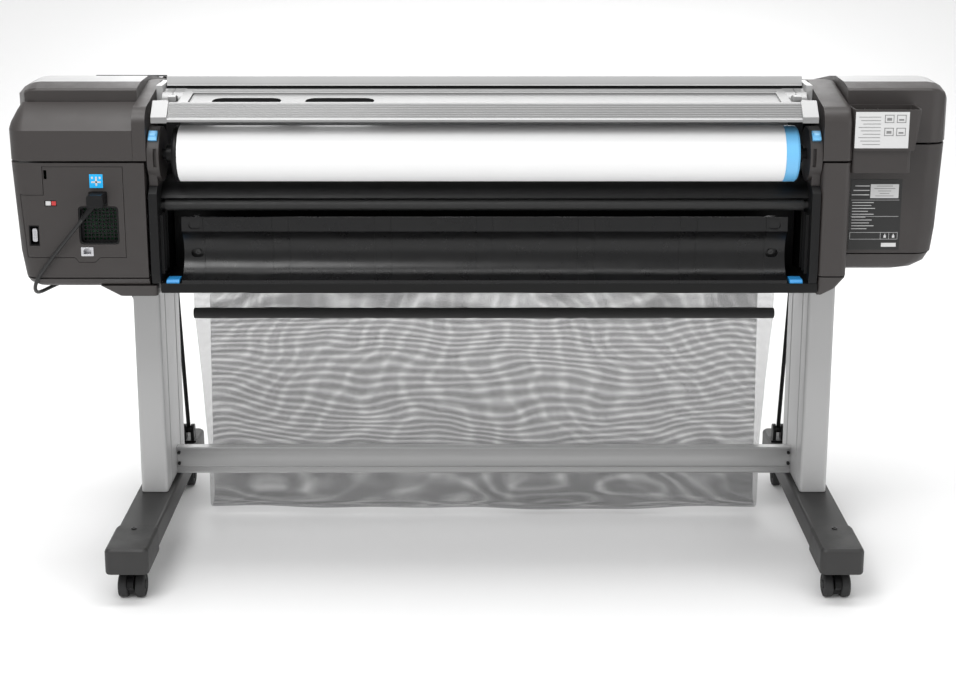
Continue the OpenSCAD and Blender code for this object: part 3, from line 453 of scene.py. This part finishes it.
def block(verts, faces, lo, hi):
    """Adds a box to a mesh under construction."""
    n = len(verts)
    for x in (lo[0], hi[0]):
        for y in (lo[1], hi[1]):
            for z in (lo[2], hi[2]):
                verts.append((x + BX, y, z))
    faces += [
        [n, n + 1, n + 3, n + 2],
        [n + 4, n + 6, n + 7, n + 5],
        [n, n + 4, n + 5, n + 1],
        [n + 2, n + 3, n + 7, n + 6],
        [n, n + 2, n + 6, n + 4],
        [n + 1, n + 5, n + 7, n + 3],
    ]


# -------------------------------------------------------------------- cord
# The route repeats the source's points, in millimetres; the rest is in metres.
ROUTE = [
    (739, 316, 756), (759.5, 313, 731), (781, 310.5, 705), (802, 308, 680), (820, 305.5, 656),
    (834, 303, 636), (841, 292, 617), (842, 270, 604), (838, 235, 600), (828, 180, 598),
    (811, 120, 594), (790, 60, 586), (766, 0, 570), (748, -50, 545), (736, -92, 505),
    (731, -120, 450), (731, -136, 380), (731, -144, 300), (731, -148, 200), (731.5, -152, 110),
    (733, -158, 50), (736, -174, 18), (741, -202, 5), (747, -240, 4), (757, -285, 4),
    (764, -325, 4),
]
CORD_D = 0.007
COIL = (0.722, -0.398)
COIL_MID = 0.0375  # middle radius of the coil
COIL_TOP = 0.033
COIL_TURNS = 6


def ring_of(k):
    """Radius and height of the coil's k-th turn: two turns to each of three layers."""
    return COIL_MID + (0.0036 if k % 4 in (0, 3) else -0.0036), 0.0040 + CORD_D * (k // 2)


def ease(f):
    return f * f * (3 - 2 * f)


def cord_points():
    pts = [Vector((x / 1000 + BX, y / 1000, z / 1000)) for x, y, z in ROUTE]
    centre = Vector((COIL[0] + BX, COIL[1], 0.0))
    pts += [Vector((x + BX, y, 0.004)) for x, y in ((0.7655, -0.352), (0.7645, -0.375))]
    steps = 20
    for i in range(COIL_TURNS * steps + 1):
        k = min(i // steps, COIL_TURNS - 1)
        part = (i - k * steps) / steps
        r0, z0 = ring_of(k)
        r1, z1 = ring_of(min(k + 1, COIL_TURNS - 1))
        f = ease(max(0.0, (part - 0.7) / 0.3))
        a = -2 * math.pi * i / steps
        r, z = r0 + (r1 - r0) * f, z0 + (z1 - z0) * f
        pts.append(centre + Vector((math.cos(a) * r, math.sin(a) * r, z)))
    r0, z0 = ring_of(COIL_TURNS - 1)
    for i in range(1, 10):
        a = -math.pi * i / 10
        f = ease(i / 10)
        r = r0 + (COIL_MID - r0) * f
        pts.append(centre + Vector((math.cos(a) * r, math.sin(a) * r, z0 + (COIL_TOP - z0) * f)))
    pts.append(centre + Vector((-COIL_MID, -0.006, COIL_TOP)))
    pts.append(centre + Vector((-COIL_MID, 0.002, COIL_TOP)))
    return pts


def make_cord():
    data = bpy.data.curves.new("mains_cord", "CURVE")
    data.dimensions = "3D"
    data.bevel_depth = CORD_D / 2
    data.bevel_resolution = 5
    data.resolution_u = 8
    spline = data.splines.new("NURBS")
    pts = cord_points()
    spline.points.add(len(pts) - 1)
    for p, co in zip(spline.points, pts):
        p.co = (*co, 1.0)
    spline.use_endpoint_u = True
    spline.order_u = 4
    obj = bpy.data.objects.new("mains_cord", data)
    bpy.context.scene.collection.objects.link(obj)
    data.materials.append(MAT["cord"])
    data.use_fill_caps = True
    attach(obj, "frame")
    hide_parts("cord_tube", "cord_coil")
    return obj, pts


cord_obj, cord_pts = make_cord()


# ------------------------------------------------------------------ basket
HW = 0.592  # half of the basket's width
SLING = [
    (13, 484), (-14, 415), (-40, 340), (-67, 250), (-86, 190), (-91.5, 165), (-92, 112),
]


def sling_line():
    """Middle line of the sling from the rear rod round the fold to the front bar."""
    pts = [(y / 1000, z / 1000) for y, z in SLING]
    for i in range(13):
        a = math.radians(350 + (190 - 350) * i / 12)
        pts.append((-0.124 + 0.032 * math.cos(a), 0.0472 + 0.032 * math.sin(a)))
    return pts + [(-0.157, 0.100), (-0.166, 0.250), (-0.186, 0.493)]


def resample(pts, step):
    """Evenly spaced points on a Catmull-Rom curve through pts."""
    fine = []
    vs = [Vector((p[0], p[1])) for p in pts]
    for i in range(len(vs) - 1):
        p0, p1, p2, p3 = vs[max(i - 1, 0)], vs[i], vs[i + 1], vs[min(i + 2, len(vs) - 1)]
        for k in range(12):
            t = k / 12
            fine.append(
                0.5
                * (
                    2 * p1
                    + (p2 - p0) * t
                    + (2 * p0 - 5 * p1 + 4 * p2 - p3) * t * t
                    + (3 * p1 - p0 - 3 * p2 + p3) * t ** 3
                )
            )
    fine.append(vs[-1])
    total = sum((b - a).length for a, b in zip(fine, fine[1:]))
    n = max(2, round(total / step))
    out, k, run = [fine[0]], 0, 0.0
    for i in range(1, n):
        want = total * i / n
        while run + (fine[k + 1] - fine[k]).length < want:
            run += (fine[k + 1] - fine[k]).length
            k += 1
        seg = (fine[k + 1] - fine[k]).length
        out.append(fine[k].lerp(fine[k + 1], (want - run) / seg))
    out.append(fine[-1])
    return out, total


def hump(x, s, total):
    """Slack of the hung cloth: shallow waves that grow towards the middle of the drop."""
    mid = math.sin(math.pi * min(1.0, s / total))
    return 0.0028 * mid * (
        math.sin(5.1 * x + 1.3 + 2.0 * s) + 0.6 * math.sin(11.7 * x - 0.6 - 3.1 * s)
    ) + 0.0012 * mid * math.sin(27.0 * x + 9.0 * s)


def cloth_strip(name, line, total, nx, waves=True, body="frame"):
    verts, faces, uvs = [], [], []
    run = 0.0
    for j, p in enumerate(line):
        if j:
            run += (line[j] - line[j - 1]).length
        a, b = line[max(j - 1, 0)], line[min(j + 1, len(line) - 1)]
        d = (b - a).normalized()
        nrm = Vector((-d.y, d.x))
        for i in range(nx + 1):
            x = -HW + 2 * HW * i / nx
            w = hump(x, run, total) if waves else 0.0
            verts.append((x + BX, p.x + nrm.x * w, p.y + nrm.y * w))
            uvs.append((x, run))
    for j in range(len(line) - 1):
        for i in range(nx):
            a = j * (nx + 1) + i
            faces.append([a, a + 1, a + nx + 2, a + nx + 1])
    obj = piece(name, verts, faces, "cloth", body=body, sharp=80.0)
    layer = obj.data.uv_layers.new(name="cloth")
    for loop in obj.data.loops:
        layer.data[loop.index].uv = uvs[loop.vertex_index]
    return obj


line, drop = resample(sling_line(), 0.012)
sling = cloth_strip("basket_sling", line, drop, 96, body=None)
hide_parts("basket_fabric")
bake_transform(sling)
upper_line, upper_drop = resample([(0.0136, 0.5035), (0.0166, 0.555), (0.0194, 0.600)], 0.012)
upper = cloth_strip("basket_upper_cloth", upper_line, upper_drop, 60, waves=False)


def tube_x(name, x0, x1, y, z, r, mat, n=28, bulge=0.0, cols=60, body="frame"):
    """Round sleeve along x; bulge puckers it a little between its stitches."""
    verts, faces = [], []
    for i in range(cols + 1):
        x = x0 + (x1 - x0) * i / cols
        rr = r + bulge * (0.5 + 0.5 * math.sin(x * 61.0)) * math.sin(x * 173.0 + 1.0)
        for k in range(n):
            a = 2 * math.pi * k / n
            verts.append((x + BX, y + rr * math.cos(a), z + rr * math.sin(a)))
    for i in range(cols):
        for k in range(n):
            a, b = i * n + k, i * n + (k + 1) % n
            faces.append([a, b, b + n, a + n])
    for a in (0, cols * n):
        faces.append([a + k for k in range(n)])
    return piece(name, verts, faces, mat, body=body)


sleeve = tube_x("basket_sleeve", -HW, HW, 0.0134, 0.4932, 0.0112, "sleeve", 28, 0.0007)
front_sleeve = tube_x(
    "basket_front_sleeve", -HW, HW, -0.186, 0.500, 0.0056, "sleeve", 20, 0.0002, body="basket_frame"
)


# ------------------------------------------------------------------ labels
def marks(name, boxes, mat):
    verts, faces = [], []
    for lo, hi in boxes:
        block(verts, faces, lo, hi)
    return piece(name, verts, faces, mat, smooth=False)


marks("port_label", [((0.7015, 0.3003, 0.812), (0.7260, 0.3008, 0.8375))], "cyan")
marks(
    "port_label_signs",
    [
        ((0.7050, 0.3006, 0.8215), (0.7225, 0.3011, 0.8245)),
        ((0.7120, 0.3006, 0.8160), (0.7150, 0.3011, 0.8330)),
        ((0.7050, 0.3006, 0.8290), (0.7085, 0.3011, 0.8330)),
        ((0.7190, 0.3006, 0.8290), (0.7225, 0.3011, 0.8330)),
    ],
    "white",
)
PX0, PX1 = -0.774, -0.676
marks("pocket_label", [((PX0, 0.3002, 0.886), (PX1, 0.3007, 0.953))], "white")
lines = []
for i in range(9):
    z = 0.944 - i * 0.0063
    lines.append(((PX0 + 0.052, 0.3005, z - 0.0010), (PX1 - 0.006 - 0.004 * (i % 3), 0.3010, z)))
for i, (dx, dz) in enumerate(((0.006, 0.020), (0.028, 0.020), (0.006, 0.044), (0.028, 0.044))):
    x, z = PX0 + dx, 0.953 - dz
    lines.append(((x, 0.3005, z), (x + 0.0170, 0.3010, z + 0.0012)))
    lines.append(((x, 0.3005, z + 0.0135), (x + 0.0170, 0.3010, z + 0.0147)))
    lines.append(((x, 0.3005, z), (x + 0.0012, 0.3010, z + 0.0147)))
    lines.append(((x + 0.0158, 0.3005, z), (x + 0.0170, 0.3010, z + 0.0147)))
    top = z + 0.0070 + 0.002 * (i % 2)
    lines.append(((x + 0.0040, 0.3005, z + 0.0040), (x + 0.0130, 0.3010, top)))
marks("pocket_label_signs", lines, "grey_ink")
rating = [((-0.784, 0.2352, 0.680), (-0.688, 0.2357, 0.815))]
marks("rating_label", rating, "mark")
signs = [((-0.7780, 0.2355, 0.7795), (-0.7250, 0.2360, 0.8060))]
for i in range(3):
    z = i * 0.0085
    signs.append(((-0.7230, 0.2355, 0.8020 - z), (-0.6960 + 0.003 * i, 0.2360, 0.8035 - z)))
for i, wide in enumerate((0.040, 0.036, 0.043, 0.030, 0.041, 0.026, 0.038, 0.033, 0.042, 0.029)):
    z = 0.7715 - i * 0.0056
    signs.append(((-0.6920 - wide, 0.2355, z - 0.0012), (-0.6920, 0.2360, z)))
for z in (0.7755, 0.7440, 0.7130, 0.7000):
    signs.append(((-0.7800, 0.2355, z), (-0.6900, 0.2360, z + 0.0005)))
for x in (-0.7800, -0.7640, -0.7480, -0.6905):
    signs.append(((x, 0.2355, 0.7000), (x + 0.0005, 0.2360, 0.7130)))
for x in (-0.7745, -0.7585):
    signs.append(((x, 0.2355, 0.7030), (x + 0.0045, 0.2360, 0.7075)))
    signs.append(((x + 0.0015, 0.2355, 0.7075), (x + 0.0030, 0.2360, 0.7105)))
signs.append(((-0.7780, 0.2355, 0.6855), (-0.7500, 0.2360, 0.6930)))
marks("rating_label_signs", signs, "white")
rows = []
for i, wide in enumerate((0.030, 0.040, 0.024, 0.018, 0.034)):
    z = 0.8030 - i * 0.0047
    rows.append(((-0.7515 - wide / 2, 0.23595, z - 0.0010), (-0.7515 + wide / 2, 0.2362, z)))
marks("rating_label_rows", rows, "grey_ink")


# -------------------------------------------------------------- port inserts
def port_bits():
    verts, faces = [], []
    for i in range(8):
        x = 0.7315 + i * 0.00145
        block(verts, faces, (x, 0.2845, 0.6945), (x + 0.0006, 0.2975, 0.6950))
    for i in range(9):
        z = 0.7115 + i * 0.0024
        block(verts, faces, (0.8315, 0.2935, z), (0.8325, 0.2965, z + 0.0009))
        block(verts, faces, (0.8345, 0.2935, z), (0.8355, 0.2965, z + 0.0009))
    for x in (0.7052, 0.7108, 0.7164):
        block(verts, faces, (x, 0.283, 0.789), (x + 0.0022, 0.2935, 0.7955))
    piece("port_contacts", verts, faces, "contact", smooth=False)


port_bits()
marks("side_connector_red", [((0.7905, 0.2965, 0.7785), (0.7985, 0.2978, 0.7865))], "red")
marks("side_connector_white", [((0.8000, 0.2965, 0.7785), (0.8095, 0.2978, 0.7865))], "white")

# -------------------------------------------------------------- paper layers
ROLL_Y, ROLL_Z = 0.248, 0.867


def roll_ends():
    """Edges of the wound sheets, a shallow spiral on both end faces of the roll."""
    verts, faces = [], []
    turns, steps = 9, 72
    for end, sign in ((0.5652, 1), (-0.5532, -1)):
        for i in range(turns * steps + 1):
            a = 2 * math.pi * i / steps
            r = 0.0325 + 0.0185 * i / (turns * steps)
            for dr, dx in ((0.0, 0.0), (0.0006, 0.00035), (0.0012, 0.0)):
                y, z = ROLL_Y + (r + dr) * math.cos(a), ROLL_Z + (r + dr) * math.sin(a)
                verts.append((end + BX + sign * dx, y, z))
        base = 0 if sign > 0 else (turns * steps + 1) * 3
        for i in range(turns * steps):
            for k in (0, 1):
                a = base + i * 3 + k
                faces.append([a, a + 1, a + 4, a + 3])
    piece("roll_end_layers", verts, faces, "paper", body="spindle")


roll_ends()

# ------------------------------------------------------------------- stage
FLOOR_END, SWEEP_Y, SWEEP_R, WALL_TOP, STUDIO_HW = 9.0, -3.2, 1.8, 7.0, 14.0


def stage_floor():
    """Floor, sweep and wall. The wall hides the machine from a low camera at azimuth 0."""
    verts, faces = [], []
    prof = [(FLOOR_END, 0.0), (SWEEP_Y, 0.0)]
    for i in range(1, 17):
        a = math.pi / 2 * i / 16
        prof.append((SWEEP_Y - SWEEP_R * math.sin(a), SWEEP_R - SWEEP_R * math.cos(a)))
    prof.append((SWEEP_Y - SWEEP_R, WALL_TOP))
    for y, z in prof:
        verts += [(-STUDIO_HW, y, z), (STUDIO_HW, y, z)]
    for i in range(len(prof) - 1):
        faces.append([2 * i, 2 * i + 1, 2 * i + 3, 2 * i + 2])
    mesh = bpy.data.meshes.new("studio")
    mesh.from_pydata(verts, [], faces)
    mesh.shade_smooth()
    obj = bpy.data.objects.new("studio", mesh)
    bpy.context.scene.collection.objects.link(obj)
    mat, tree, bsdf = tree_of("studio_paper")
    bsdf.inputs["Base Color"].default_value = (0.90, 0.90, 0.90, 1.0)
    bsdf.inputs["Roughness"].default_value = 0.9
    mesh.materials.append(mat)


stage_floor()


def lamp(name, at, to, size, power, size_y=None):
    data = bpy.data.lights.new(name, "AREA")
    data.energy = power
    data.size = size
    if size_y:
        data.shape = "RECTANGLE"
        data.size_y = size_y
    obj = bpy.data.objects.new(name, data)
    bpy.context.scene.collection.objects.link(obj)
    obj.location = at
    obj.rotation_euler = (Vector(to) - Vector(at)).to_track_quat("-Z", "Y").to_euler()


lamp("key", (1.4, 3.0, 4.0), (0.0, 0.0, 0.6), 1.8, 95.0)
lamp("fill", (-3.4, 2.8, 1.6), (0.0, 0.0, 0.5), 2.2, 26.0)
lamp("top", (0.0, 0.4, 4.4), (0.0, 0.0, 0.5), 3.4, 95.0, 1.8)
lamp("back", (0.0, -3.6, 2.6), (0.0, 0.0, 0.5), 3.0, 70.0)
world = bpy.data.worlds.new("studio")
bpy.context.scene.world = world
world.use_nodes = True
world.node_tree.nodes["Background"].inputs["Color"].default_value = (1.0, 1.0, 1.0, 1.0)
world.node_tree.nodes["Background"].inputs["Strength"].default_value = 0.62
bpy.context.scene.view_settings.view_transform = "Standard"

for width, names in SOFT_EDGES.items():
    for name in names.split():
        soften(nodes[name], width)
